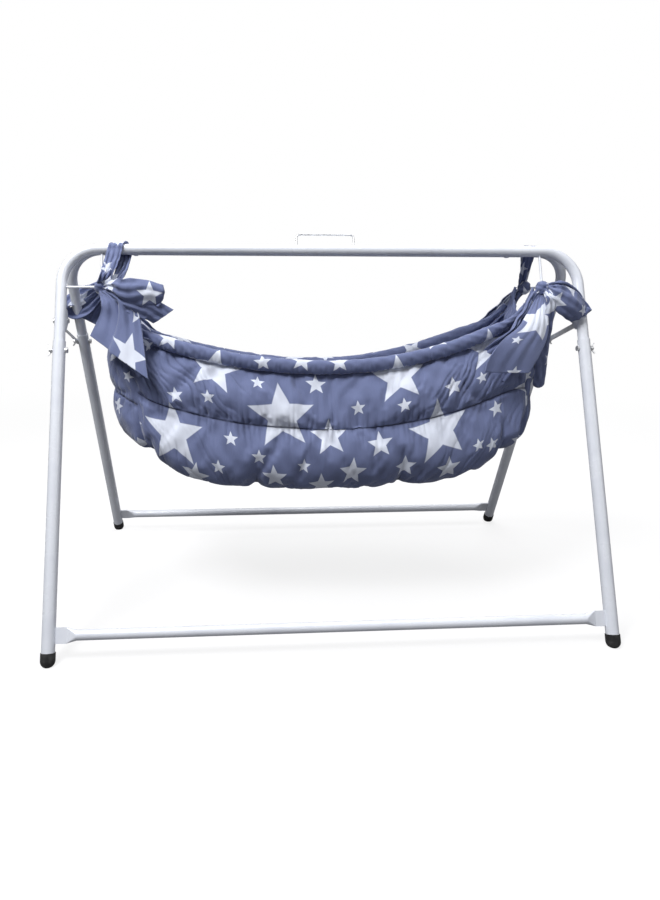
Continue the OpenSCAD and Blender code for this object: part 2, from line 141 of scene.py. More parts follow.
class Net:
    # Short ways to add nodes to a tree and join them
    def __init__(self, tree):
        self.tree = tree

    def node(self, kind, values=(), **settings):
        made = self.tree.nodes.new(kind)
        for key, value in settings.items():
            setattr(made, key, value)
        for i, value in enumerate(values):
            if value is None:
                continue
            if isinstance(value, bpy.types.NodeSocket):
                self.tree.links.new(value, made.inputs[i])
            else:
                made.inputs[i].default_value = value
        return made

    def math(self, operation, *values, clamp=False):
        return self.node("ShaderNodeMath", values, operation=operation, use_clamp=clamp).outputs[0]

    def vector(self, operation, *values):
        made = self.node("ShaderNodeVectorMath", values, operation=operation)
        return made.outputs["Value"] if operation in ("LENGTH", "DOT_PRODUCT") else made.outputs[0]

    def mix(self, share, a, b):
        made = self.node("ShaderNodeMix", data_type="RGBA")
        for socket, value in ((0, share), (6, a), (7, b)):
            if isinstance(value, bpy.types.NodeSocket):
                self.tree.links.new(value, made.inputs[socket])
            else:
                made.inputs[socket].default_value = value
        return made.outputs[2]

    def group(self, tree, **values):
        made = self.tree.nodes.new("ShaderNodeGroup")
        made.node_tree = tree
        for key, value in values.items():
            if isinstance(value, bpy.types.NodeSocket):
                self.tree.links.new(value, made.inputs[key])
            else:
                made.inputs[key].default_value = value
        return made


def newGroup(name, inputs, outputs):
    tree = bpy.data.node_groups.new(name, "ShaderNodeTree")
    for label, kind, value in inputs:
        socket = tree.interface.new_socket(label, in_out="INPUT", socket_type="NodeSocket" + kind)
        if value is not None:
            socket.default_value = value
    for label, kind in outputs:
        tree.interface.new_socket(label, in_out="OUTPUT", socket_type="NodeSocket" + kind)
    net = Net(tree)
    return tree, net, tree.nodes.new("NodeGroupInput"), tree.nodes.new("NodeGroupOutput")


def makeStarGroup():
    # One five-pointed star: the angle folds into one tenth of a turn, where the edge is a straight line
    tree, net, given, out = newGroup(
        "star", [("Vector", "Vector", None), ("Centre", "Vector", None), ("Size", "Float", 0.05),
                 ("Turn", "Float", 0.0), ("Tile", "Vector", None)], [("Mask", "Float")])
    half = net.vector("SCALE", given.outputs["Tile"])
    half.node.inputs["Scale"].default_value = 0.5
    less = net.vector("SCALE", given.outputs["Tile"])
    less.node.inputs["Scale"].default_value = -0.5
    away = net.vector("SUBTRACT", given.outputs["Vector"], given.outputs["Centre"])
    away = net.vector("WRAP", away, half, less)
    parts = net.node("ShaderNodeSeparateXYZ", [away])
    angle = net.math("ARCTAN2", parts.outputs[0], parts.outputs[1])
    angle = net.math("ADD", angle, given.outputs["Turn"])
    tenth = math.pi / 5
    angle = net.math("FLOORED_MODULO", net.math("ADD", angle, tenth), 2 * tenth)
    angle = net.math("ABSOLUTE", net.math("SUBTRACT", angle, tenth))
    flat = net.node("ShaderNodeCombineXYZ", [parts.outputs[0], parts.outputs[1], 0.0]).outputs[0]
    reach = net.math("DIVIDE", net.vector("LENGTH", flat), given.outputs["Size"])
    notch = 0.43
    acrossX, acrossY = notch * math.sin(tenth), 1 - notch * math.cos(tenth)
    alongEdge = net.math("MULTIPLY", net.math("COSINE", angle), acrossX)
    intoEdge = net.math("MULTIPLY", net.math("SINE", angle), acrossY)
    edge = net.math("MULTIPLY", reach, net.math("ADD", alongEdge, intoEdge))
    mask = net.math("MULTIPLY", net.math("SUBTRACT", acrossX, edge), 60.0, clamp=True)
    tree.links.new(mask, out.inputs["Mask"])
    return tree


# The print's repeat: centre across and up the cloth, tip radius and turn in degrees
starPrint = dict(
    tile=(1.08, 0.46),  # one repeat, across and up
    stars=[  # across, up, reach, lean
        (-0.325, -0.050, 0.068, 8), (-0.240, 0.112, 0.062, -8), (-0.102, 0.024, 0.073, 6),
        (-0.004, -0.015, 0.042, 4), (0.145, 0.102, 0.062, 2), (0.226, -0.028, 0.069, 5),
        (0.350, 0.118, 0.058, -6), (0.450, 0.000, 0.045, 12), (-0.455, 0.110, 0.046, -4),
        (-0.030, 0.095, 0.023, 0), (0.099, -0.036, 0.028, 3), (0.042, -0.087, 0.030, -3),
        (-0.320, 0.034, 0.019, 14), (-0.251, 0.044, 0.016, 6), (-0.150, 0.091, 0.016, 0),
        (-0.206, -0.033, 0.016, 3), (-0.230, -0.092, 0.015, 2), (-0.149, -0.062, 0.016, 0),
        (-0.057, -0.074, 0.015, 0), (0.057, 0.043, 0.016, 4), (0.151, 0.038, 0.016, 4),
        (0.258, 0.055, 0.022, 6), (0.359, -0.025, 0.018, 4), (0.323, 0.055, 0.014, 8),
        (0.307, -0.081, 0.014, 5), (0.340, -0.093, 0.016, 9), (0.243, -0.108, 0.026, 0),
        (0.153, -0.089, 0.024, 2), (-0.277, -0.120, 0.030, -6), (-0.116, -0.099, 0.027, 6),
        (-0.020, -0.113, 0.028, 4), (-0.420, -0.070, 0.020, 0), (0.420, -0.110, 0.030, 0),
        (-0.140, 0.148, 0.020, 10), (-0.058, 0.156, 0.026, -8), (0.020, 0.152, 0.024, 4),
        (0.235, 0.190, 0.034, 4), (-0.340, 0.175, 0.030, 0), (-0.440, 0.200, 0.030, 9),
        (-0.480, -0.150, 0.040, 6), (-0.180, 0.200, 0.034, 8)])


def makePrintGroup(settings):
    # All the stars of one repeat, joined by taking the largest mask
    tree, net, given, out = newGroup("star print", [("Vector", "Vector", None)], [("Mask", "Float")])
    star = makeStarGroup()
    whole = 0.0
    for across, up, size, turn in settings["stars"]:
        one = net.group(star, Vector=given.outputs["Vector"], Centre=(across, up, 0), Size=size,
                        Turn=math.radians(turn), Tile=(*settings["tile"], 1))
        whole = net.math("MAXIMUM", whole, one.outputs["Mask"])
    tree.links.new(whole, out.inputs["Mask"])
    return tree


def makeWeaveGroup():
    # Plain weave: two crossed waves along the cloth's own map, with slow unevenness in thread thickness
    tree, net, given, out = newGroup(
        "plain weave", [("Vector", "Vector", None), ("Thread", "Float", 0.0009)],
        [("Height", "Float"), ("Slub", "Float")])
    parts = net.node("ShaderNodeSeparateXYZ", [given.outputs["Vector"]])
    turns = net.math("DIVIDE", 2 * math.pi, given.outputs["Thread"])
    warp = net.math("SINE", net.math("MULTIPLY", parts.outputs[0], turns))
    weft = net.math("SINE", net.math("MULTIPLY", parts.outputs[1], turns))
    stretched = net.node("ShaderNodeMapping", [given.outputs["Vector"]])
    stretched.inputs["Scale"].default_value = (900, 60, 1)
    slub = net.node("ShaderNodeTexNoise", [stretched.outputs[0], None, 1.0, 2.0])
    height = net.math("MULTIPLY", warp, weft)
    height = net.math("ADD", height, net.math("MULTIPLY", slub.outputs[0], 0.8))
    tree.links.new(height, out.inputs["Height"])
    tree.links.new(slub.outputs[0], out.inputs["Slub"])
    return tree


def makeGrimeGroup():
    # Soft handling marks and small dents for painted, plated and moulded pieces
    tree, net, given, out = newGroup(
        "handling marks", [("Vector", "Vector", None), ("Scale", "Float", 30.0)],
        [("Marks", "Float"), ("Grain", "Float")])
    broad = net.node("ShaderNodeTexNoise", [given.outputs["Vector"], None, given.outputs["Scale"], 4.0])
    fine = net.node("ShaderNodeTexNoise", [given.outputs["Vector"], None, 900.0, 2.0])
    marks = net.node("ShaderNodeMapRange", [broad.outputs[0], 0.4, 0.75, 0.0, 1.0])
    tree.links.new(marks.outputs[0], out.inputs["Marks"])
    tree.links.new(fine.outputs[0], out.inputs["Grain"])
    return tree


makeCamera(camera)
makeStudio(lights)
print("camera and studio made")
printGroup = makePrintGroup(starPrint)
weaveGroup = makeWeaveGroup()
marksGroup = makeGrimeGroup()


# The thread colour also paints shade: it darkens the seam lines, the pinched cross seams and the creases
clothLook = dict(ground=(0.165, 0.200, 0.365, 1), groundDark=(0.110, 0.132, 0.250, 1),
                 star=(0.72, 0.76, 0.86, 1), starDark=(0.62, 0.66, 0.78, 1), threadAndShade=(0.03, 0.035, 0.075, 1),
                 roughness=0.72, sheen=0.35, bump=0.3)


def printCloth(name, look):
    # Cotton with a printed star repeat: the print is slightly faded where the threads are thin
    mat = bpy.data.materials.new(name)
    mat.use_nodes = True
    net = Net(mat.node_tree)
    shader = mat.node_tree.nodes["Principled BSDF"]
    uv = net.node("ShaderNodeUVMap", uv_map="cloth").outputs[0]
    weave = net.group(weaveGroup, Vector=uv)
    stars = net.group(printGroup, Vector=uv)
    cloud = net.node("ShaderNodeTexNoise", [uv, None, 6.0, 3.0])
    uneven = net.math("MULTIPLY", net.math("ADD", cloud.outputs[0], weave.outputs["Slub"]), 0.5)
    ground = net.mix(uneven, look["ground"], look["groundDark"])
    ink = net.mix(uneven, look["star"], look["starDark"])
    colour = net.mix(stars.outputs["Mask"], ground, ink)
    # Painted shade: the seam attribute mixes the thread colour in on the seam lines, as painted shade in their
    # grooves, at the pinched cross seams and in the creases
    seam = net.node("ShaderNodeAttribute", attribute_name="seam").outputs["Fac"]
    colour = net.mix(net.math("MULTIPLY", seam, 0.85), colour, look["threadAndShade"])
    mat.node_tree.links.new(colour, shader.inputs["Base Color"])
    bump = net.node("ShaderNodeBump")
    bump.inputs["Strength"].default_value = look["bump"]
    bump.inputs["Distance"].default_value = 0.0003
    mat.node_tree.links.new(weave.outputs["Height"], bump.inputs["Height"])
    mat.node_tree.links.new(bump.outputs[0], shader.inputs["Normal"])
    shader.inputs["Roughness"].default_value = look["roughness"]
    shader.inputs["Specular IOR Level"].default_value = 0.25
    shader.inputs["Sheen Weight"].default_value = look["sheen"]
    shader.inputs["Sheen Roughness"].default_value = 0.4
    return mat


hardLooks = dict(
    white_paint=dict(colour=(0.78, 0.81, 0.88, 1), worn=(0.70, 0.73, 0.81, 1), rough=(0.26, 0.42), metal=0.0,
                     coat=0.35, grain=0.12, marks=18.0),
    zinc_steel=dict(colour=(0.80, 0.81, 0.83, 1), worn=(0.62, 0.63, 0.66, 1), rough=(0.34, 0.5), metal=0.75,
                    coat=0.0, grain=0.2, marks=60.0),
    cap_rubber=dict(colour=(0.014, 0.014, 0.015, 1), worn=(0.05, 0.05, 0.05, 1), rough=(0.5, 0.75), metal=0.0,
                    coat=0.0, grain=0.5, marks=80.0))


def hardFinish(name, look):
    # Paint, zinc or rubber: marks change the colour and the gloss a little, and grain lifts the surface
    mat = bpy.data.materials.new(name)
    mat.use_nodes = True
    net = Net(mat.node_tree)
    shader = mat.node_tree.nodes["Principled BSDF"]
    place = net.node("ShaderNodeTexCoord").outputs["Object"]
    marks = net.group(marksGroup, Vector=place, Scale=look["marks"])
    colour = net.mix(marks.outputs["Marks"], look["colour"], look["worn"])
    mat.node_tree.links.new(colour, shader.inputs["Base Color"])
    rough = net.node("ShaderNodeMapRange", [marks.outputs["Marks"], 0.0, 1.0, *look["rough"]])
    mat.node_tree.links.new(rough.outputs[0], shader.inputs["Roughness"])
    bump = net.node("ShaderNodeBump")
    bump.inputs["Strength"].default_value = look["grain"]
    bump.inputs["Distance"].default_value = 0.0002
    mat.node_tree.links.new(marks.outputs["Grain"], bump.inputs["Height"])
    mat.node_tree.links.new(bump.outputs[0], shader.inputs["Normal"])
    shader.inputs["Metallic"].default_value = look["metal"]
    shader.inputs["Coat Weight"].default_value = look["coat"]
    return mat


starCotton = printCloth("star cotton", clothLook)
hardMats = {name: hardFinish(name.replace("_", " "), look) for name, look in hardLooks.items()}
slotOf = {part["node"]: part["material_slot"] for part in frame["record"]["subparts"]}
for nodeName, obj in frame["nodes"].items():
    obj.data.materials.clear()
    obj.data.materials.append(hardMats.get(slotOf[nodeName], starCotton))
print("materials made")


def lerp(a, b, t):
    return a + (b - a) * t


def bez(p, t):
    # Cubic Bezier curve through four numbers
    return p[0] * (1 - t) ** 3 + 3 * p[1] * t * (1 - t) ** 2 + 3 * p[2] * t ** 2 * (1 - t) + p[3] * t ** 3


def smooth(low, high, x):
    t = np.clip((x - low) / (high - low), 0, 1)
    return t * t * (3 - 2 * t)


def stack(x, y, z):
    return np.stack(np.broadcast_arrays(x, y, z), -1)


def unit(v):
    return v / np.maximum(np.linalg.norm(v, axis=-1, keepdims=True), 1e-12)


def gridNormals(p):
    # Cross product of the steps along the two ways of the grid
    return unit(np.cross(np.gradient(p, axis=1), np.gradient(p, axis=0)))


def roam(u, v, seed, size):
    # Smooth made-up noise: a sum of sine waves in seeded directions, about -1 to 1
    rng = np.random.default_rng(seed)
    total = 0
    for k in range(7):
        angle, phase = rng.uniform(0, 2 * math.pi, 2)
        rate = 2 * math.pi / size * rng.uniform(0.6, 1.7)
        total = total + np.sin(rate * (u * math.cos(angle) + v * math.sin(angle)) + phase)
    return total / 3.2


def makeMesh(name, points, faces, uv, material=starCotton):
    mesh = bpy.data.meshes.new(name)
    faces = np.asarray(faces)
    triangle = faces[:, [0, 1, 2]]
    a, b, c = (points[triangle[:, k]] for k in range(3))
    a2, b2, c2 = (points[faces[:, k]] for k in (0, 2, 3)) if faces.shape[1] == 4 else (a, a, a)
    volume = np.einsum("ij,ij->", a, np.cross(b, c)) + np.einsum("ij,ij->", a2, np.cross(b2, c2))
    if volume < 0:
        faces = faces[:, ::-1]
    mesh.from_pydata(points.tolist(), [], faces.tolist())
    layer = mesh.uv_layers.new(name="cloth")
    corner = np.zeros(len(mesh.loops), np.int32)
    mesh.loops.foreach_get("vertex_index", corner)
    layer.data.foreach_set("uv", uv[corner].astype(np.float32).ravel())
    mesh.polygons.foreach_set("use_smooth", np.ones(len(mesh.polygons), bool))
    mesh.materials.append(material)
    mesh.update()
    obj = bpy.data.objects.new(name, mesh)
    scene.collection.objects.link(obj)
    return obj


def markSeamsAndShade(obj, near):
    # near is 1 on a sewn line and 0 away from it, for each point of the mesh; it also holds painted shade for
    # the pinched cross seams and the creases
    layer = obj.data.attributes.new("seam", "FLOAT", "POINT")
    layer.data.foreach_set("value", np.ascontiguousarray(near, np.float32))


def shellFaces(rows, cols):
    # Outer grid, inner grid the other way round, and a strip that joins their borders
    i = np.arange(rows * cols).reshape(rows, cols)
    quad = np.stack([i[:-1, :-1], i[1:, :-1], i[1:, 1:], i[:-1, 1:]], -1).reshape(-1, 4)
    ring = np.concatenate([i[0], i[1:, -1], i[-1, -2::-1], i[-2:0:-1, 0]])
    after = np.roll(ring, -1)
    count = rows * cols
    side = np.stack([ring, after, after + count, ring + count], -1)
    return np.concatenate([quad, quad[:, ::-1] + count, side])


def makeShell(name, outer, inner, uv, material=starCotton):
    rows, cols = outer.shape[:2]
    points = np.concatenate([outer.reshape(-1, 3), inner.reshape(-1, 3)])
    flat = uv.reshape(-1, 2)
    return makeMesh(name, points, shellFaces(rows, cols), np.concatenate([flat, flat]), material)


def makeTube(name, rings, uv, material=starCotton):
    # rings is (along, around, 3); each end closes on a point at its ring's middle
    n, m = rings.shape[:2]
    i = np.arange(n * m).reshape(n, m)
    nxt = np.roll(i, -1, 1)
    quad = np.stack([i[:-1], nxt[:-1], nxt[1:], i[1:]], -1).reshape(-1, 4)
    ends = np.stack([rings[0].mean(0), rings[-1].mean(0)])
    points = np.concatenate([rings.reshape(-1, 3), ends])
    first = np.stack([nxt[0], i[0], np.full(m, n * m), np.full(m, n * m)], -1)
    last = np.stack([i[-1], nxt[-1], np.full(m, n * m + 1), np.full(m, n * m + 1)], -1)
    mesh = bpy.data.meshes.new(name)
    faces = quad.tolist() + first[:, :3].tolist() + last[:, :3].tolist()
    mesh.from_pydata(points.tolist(), [], faces)
    layer = mesh.uv_layers.new(name="cloth")
    corner = np.zeros(len(mesh.loops), np.int32)
    mesh.loops.foreach_get("vertex_index", corner)
    flat = np.concatenate([uv.reshape(-1, 2), uv[0].mean(0)[None], uv[-1].mean(0)[None]])
    layer.data.foreach_set("uv", flat[corner].astype(np.float32).ravel())
    mesh.polygons.foreach_set("use_smooth", np.ones(len(mesh.polygons), bool))
    mesh.materials.append(material)
    mesh.update()
    obj = bpy.data.objects.new(name, mesh)
    scene.collection.objects.link(obj)
    pointOutwards(mesh)
    return obj


def pointOutwards(mesh):
    # Turns every face if the mesh's signed volume is negative
    mesh.calc_loop_triangles()
    corners = np.zeros(len(mesh.loop_triangles) * 3, np.int32)
    mesh.loop_triangles.foreach_get("vertices", corners)
    places = np.zeros(len(mesh.vertices) * 3)
    mesh.vertices.foreach_get("co", places)
    a, b, c = places.reshape(-1, 3)[corners.reshape(-1, 3)].transpose(1, 0, 2)
    if np.einsum("ij,ij->", a, np.cross(b, c)) < 0:
        mesh.flip_normals()


knot = middleOf("front_right_knot")
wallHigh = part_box("front_wall")[1]
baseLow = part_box("base_pad")[0]
bedHeart = np.array([0, 0, 0.43])  # a point inside the bed: cloth faces point away from it
bed = dict(
    neckX=wallHigh[0], elbowY=-knot[1], elbowZ=knot[2],
    mouthY=0.110, bellyY=0.184, underY=0.106, cornerY=(0.120, 0.147, 0.098),
    frontZ=0.518, backZ=0.497, endZ=0.640,
    underZ=baseLow[2] + 0.016, underRise=0.080, baseX=0.366, endBaseX=0.384,
    lateRise=(0.50, 0.32), leftDip=0.030, seamIn=0.006, crossSeams=(-0.153, 0.150), crossWidth=0.016)


def underAt(x):
    # The underside's seam line rises with the 3.5th power of the distance from the middle
    return bed["underZ"] + bed["underRise"] * (np.abs(x) / bed["baseX"]) ** 3.5


def cornerX(v, isLeft):
    # Half length at the corners; the left ones draw in more below the ties
    x = bez([bed["neckX"], bed["neckX"] - 0.040, bed["neckX"] - 0.010, bed["baseX"]], v)
    return x - np.where(isLeft, bed["leftDip"], 0) * np.sin(v * math.pi)


def cornerY(v):
    return bez([bed["elbowY"], *bed["cornerY"]], v)


def longAt(s, v, topZ, side):
    # A long wall's seam surface: s from -1 at the left corner to 1, v from 0 at the rim to 1 underneath.
    # The rim rises with the square of s, and its late share only right at the corners.
    x = s * cornerX(v, s < 0)
    y = lerp(bez([bed["mouthY"], bed["bellyY"], bed["bellyY"], bed["underY"]], v), cornerY(v), np.abs(s) ** 3)
    top = lerp(topZ, bed["elbowZ"], lerp(s ** 2, s ** 14, np.where(s < 0, *bed["lateRise"])))
    return stack(x, side * y, lerp(top, underAt(s * bed["baseX"]), np.sin(v * math.pi / 2)))


def endAt(s, v, side):
    # An end wall's seam surface: s from -1 at the front corner to 1, side -1 for the left end
    edge = np.abs(s) ** 3
    x = lerp(bez([bed["neckX"] - 0.008, bed["neckX"] + 0.018, bed["neckX"] + 0.012, bed["endBaseX"]], v),
             cornerX(v, side < 0), edge)
    top = lerp(bed["endZ"], bed["elbowZ"], s * s)
    low = underAt(lerp(bed["endBaseX"], bed["baseX"], edge))
    return stack(side * x, s * cornerY(v), lerp(top, low, np.sin(v * math.pi / 2)))


def alongMap(p, seamRow):
    # Cloth map of a grid: lengths measured along the rows from the middle column, and up from the seam row
    stepU = np.linalg.norm(np.diff(p, axis=1), axis=-1)
    u = np.concatenate([np.zeros((len(p), 1)), np.cumsum(stepU, 1)], 1)
    u = u - u[:, [p.shape[1] // 2]]
    stepV = np.linalg.norm(np.diff(p, axis=0), axis=-1)
    v = np.concatenate([np.zeros((1, p.shape[1])), np.cumsum(stepV, 0)], 0)
    return np.stack([u, v[seamRow] - v], -1)


def puff(q, sharp=0.5):
    # Height of a filled channel across its width: a half sine made steep at the seams
    return np.sin(np.clip(q, 0, 1) * math.pi) ** sharp


def seamRows(count, crowd=0.55):
    # Row places from 0 to 1, crowded towards both ends
    q = np.linspace(0, 1, count)
    return lerp(q, (1 - np.cos(q * math.pi)) / 2, crowd)


def swell(outer, inner, held, settings):
    # Cloth simulation of the closed pad: pressure fills it while its seams stay held. Gives each
    # point's move.
    rows, cols = outer.shape[:2]
    pad = makeShell("pad being filled", outer, inner, np.zeros((rows, cols, 2)))
    group = pad.vertex_groups.new(name="held")
    spots = np.flatnonzero(held.ravel())
    group.add(np.concatenate([spots, spots + rows * cols]).tolist(), 1.0, "REPLACE")
    cloth = pad.modifiers.new("cloth", "CLOTH")
    cloth.settings.vertex_group_mass = "held"
    cloth.settings.use_pressure = True
    cloth.settings.uniform_pressure_force = settings["pressure"]
    cloth.settings.effector_weights.gravity = 0
    cloth.settings.quality = 5
    cloth.settings.mass = 0.15
    cloth.settings.shrink_min = -settings["slack"]
    cloth.settings.bending_stiffness = settings["stiffness"]
    cloth.settings.air_damping = 3
    cloth.collision_settings.use_collision = False
    cloth.point_cache.frame_start = 1
    cloth.point_cache.frame_end = settings["frames"]
    for step in range(1, settings["frames"] + 1):
        scene.frame_set(step)
    solved = pad.evaluated_get(bpy.context.evaluated_depsgraph_get()).data
    places = np.zeros(len(solved.vertices) * 3)
    solved.vertices.foreach_get("co", places)
    scene.frame_set(1)
    bpy.data.objects.remove(pad)
    move = places.reshape(2, rows, cols, 3) - np.stack([outer, inner])
    size = np.linalg.norm(move, axis=-1, keepdims=True)
    return move * np.minimum(1, settings["cap"] / np.maximum(size, 1e-9))


def spread(coarse, rowPlaces, colPlaces, rows, cols):
    # Straight-line resampling of a coarse grid onto finer row and column places
    def weights(fine, rough):
        at = np.interp(fine, rough, np.arange(len(rough)))
        low = np.clip(at.astype(int), 0, len(rough) - 2)
        t = at - low
        return low, t

    low, t = weights(rows, rowPlaces)
    t = t[:, None, None]
    field = coarse[low] * (1 - t) + coarse[low + 1] * t
    low, t = weights(cols, colPlaces)
    t = t[None, :, None]
    return field[:, low] * (1 - t) + field[:, low + 1] * t


def quiltedPad(name, surface, seamAt, pinch, lobes, size, fold, sim, printShift=0.0):
    # A wall with two filled channels, above and below one long seam. surface(s, v) is the seam surface, and
    # seamAt(s) is where the long seam lies. pinch(p, q) is 0 to 1, and flattens the lower channel at its
    # cross seams. lobes holds the heights of the upper and the lower channel. fold(u, v, ...) adds creases,
    # and printShift slides the print along the wall.
    def build(upper, lower, cols, fine):
        s = np.linspace(-1, 1, cols)[None, :]
        q = np.concatenate([seamRows(upper)[:, None], seamRows(lower)[1:, None]]) + 0 * s
        isLow = (np.arange(len(q)) >= upper)[:, None] + 0 * s > 0
        seam = seamAt(s) + 0 * q
        v = np.where(isLow, lerp(seam, 1, q), q * seam)
        base = surface(s + 0 * v, v)
        out = gridNormals(base)
        reach = bedHeart + base * [0.85, 0, 0]
        out = out * np.sign(((base - reach) * out).sum(-1, keepdims=True))
        height = np.where(isLow, lobes[1] * puff(q, 0.5), lobes[0] * puff(q, 0.5))
        flat = np.where(isLow, pinch(base, q), 1.0)
        edge = smooth(0, 0.05, 1 - np.abs(s)) * 0.75 + 0.25
        height = height * flat * edge
        uv = alongMap(base, upper - 1)
        fill = height - bed["seamIn"]
        back = -bed["seamIn"] - 0.004 - 0.7 * height
        if fine:
            crease = fold(uv[..., 0], uv[..., 1], q, isLow, s + 0 * v)
            fill = fill + crease
            back = back - 0.5 * crease
        outer = base + out * fill[..., None]
        inner = base + out * back[..., None]
        rowAt = np.where(np.arange(len(q)) < upper, q[:, 0], 1 + q[:, 0])
        # Painted shade and seam thread: the colour darkens on the sewn lines (thread, and painted shade in their
        # grooves) and where the cross seams pinch the lower channel (painted shade)
        sewnAndShade = np.maximum(np.exp(-(np.abs(uv[..., 1]) / 0.0022) ** 2), 0.7 * smooth(0.62, 0.95, 1 - flat))
        if fine:  # painted shade: the creases get a darker colour, the deeper the darker
            sewnAndShade = np.maximum(sewnAndShade, 0.5 * np.clip(-crease / creases["shadeDepth"], 0, 1))
        return outer, inner, uv, rowAt, s[0], sewnAndShade

    upper, lower, cols = size
    outer, inner, uv, rows, across, sewnAndShade = build(upper, lower, cols, True)
    if sim:
        few = build(18, 18, sim["cols"], False)
        held = np.zeros(few[0].shape[:2], bool)
        held[[0, 17, -1]] = True
        held[:, [0, -1]] = True
        held |= (pinch(few[0], np.ones(few[0].shape[:2])) < 0.45) & (few[3] > 1.5)[:, None]
        move = swell(few[0], few[1], held, sim)
        outer = outer + spread(move[0], few[3], few[4], rows, across)
        inner = inner + spread(move[1], few[3], few[4], rows, across)
    pad = makeShell(name, outer, inner, uv + np.array([printShift, 0]))
    markSeamsAndShade(pad, np.tile(sewnAndShade.ravel(), 2))
    return pad, outer


def crossPinch(p, q):
    # 1 away from the cross seams and near 0 on them; the seams fade in from the long seam downwards
    near = 0
    for x in (*bed["crossSeams"], -bed["baseX"], bed["baseX"]):
        near = near + np.exp(-np.abs(p[..., 0] - x) / bed["crossWidth"])
    return 1 - np.clip(near, 0, 1) * smooth(0.15, 0.8, q)


def longSeam(s):
    # The long seam keeps its share of the wall's height until it climbs at the corners
    return np.where(s < 0, 0.295 + 0.130 * np.abs(s) ** 8, 0.295 + 0.135 * np.abs(s) ** 12)


# The last entry is the crease depth at which the painted shade in a crease is full
creases = dict(rays=30, rayDepth=0.0060, raySize=0.22, pucker=0.0050, puckerStep=0.0130, puckerReach=0.022,
               slantTurn=54, slantStep=0.0145, slantDepth=0.0050, slantFrom=(0.10, 0.75), shadeDepth=0.0045)


def wallFold(seed, topPull=1.0):
    # Three kinds of crease: rays out of the tied corners, long slanting pulls towards those corners, and
    # puckers that fade away from the long seam
    def fold(u, v, q, isLow, s):
        total = 0 * u
        for side in (-1, 1):
            cornerU = side * np.abs(u[0]).max()
            cornerV = v[0, -1 if side > 0 else 0]
            du, dv = (u - cornerU) * -side, cornerV - v
            far, angle = np.hypot(du, dv), np.arctan2(dv, du)
            rays = np.sin(creases["rays"] * angle + 2.2 * roam(du, dv, seed + side, 0.13))
            rays = np.abs(rays) ** 0.6 - 0.75
            fade = np.exp(-(far / creases["raySize"]) ** 2) * smooth(0.01, 0.06, far)
            broken = 0.65 + 0.5 * roam(u, v, seed + 5, 0.09)
            total = total + creases["rayDepth"] * rays * fade * broken * np.where(isLow, 0.25, 1) * topPull
        turn = math.radians(creases["slantTurn"])
        across = np.abs(u) * math.sin(turn) - v * math.cos(turn)
        line = math.pi * (across / creases["slantStep"] + 0.9 * roam(u, v, seed + 17, 0.10))
        sharp = (1 - np.abs(np.sin(line))) ** 2.5
        patchy = smooth(-0.35, 0.45, roam(across * 2.2, v * 0.5, seed + 19, 0.09))
        where = smooth(*creases["slantFrom"], np.abs(s)) * patchy
        middle = 4 * q * (1 - q)
        share = (0.35 + 0.65 * middle) * np.where(isLow, 0.45, 1)
        total = total - creases["slantDepth"] * sharp * where * share
        seamGap = np.abs(v)
        phase = 2 * math.pi * u / creases["puckerStep"] + 2.5 * roam(u, v * 0.3, seed + 7, 0.05)
        pull = 0.5 + 0.5 * roam(u, 0 * v, seed + 9, 0.07)
        total = total - creases["pucker"] * (0.5 + 0.5 * np.sin(phase)) ** 2 * pull * np.exp(
            -seamGap / creases["puckerReach"]) * smooth(0, 0.004, seamGap)
        return total + 0.0015 * roam(u, v, seed + 15, 0.06)

    return fold


padSim = dict(cols=84, frames=16, pressure=3.0, slack=0.03, stiffness=0.4, cap=0.010)
padSize = (46, 54, 470)


def makeBed():
    walls, fronts = [], {}
    for side, name, topZ, seed in ((-1, "front_wall", bed["frontZ"], 3), (1, "back_wall", bed["backZ"], 41)):
        pad, fronts[name] = quiltedPad(
            name + "_pad", lambda s, v: longAt(s, v, topZ, side), longSeam, crossPinch,
            (0.013, 0.020), padSize, wallFold(seed), padSim)
        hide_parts(name)
        walls.append(pad)
    for side, name, seed in ((-1, "left_end", 71), (1, "right_end", 97)):
        pad, fronts[name] = quiltedPad(
            name + "_pad", lambda s, v: endAt(s, v, side), lambda s: 0.42 + 0.08 * s * s,
            lambda p, q: np.ones(p.shape[:2]), (0.010, 0.013), (34, 34, 150),
            wallFold(seed, 0.6), dict(padSim, cols=40), printShift=0.44)
        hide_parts(name)
        walls.append(pad)
    for pad in walls:
        finishCloth(pad, "cradle")
    print("padded walls made")
    return fronts


squashTo = dict(joint="frame_fold", axis=(0, 1, 0), anchor=(0, knot[1], 0), keep=0.345)


def finishCloth(obj, body):
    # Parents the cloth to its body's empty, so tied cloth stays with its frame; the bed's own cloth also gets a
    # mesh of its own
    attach(obj, body)
    if body == "cradle":
        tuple(squashTo["axis"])
        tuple(squashTo["anchor"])
        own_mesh(obj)
    return obj


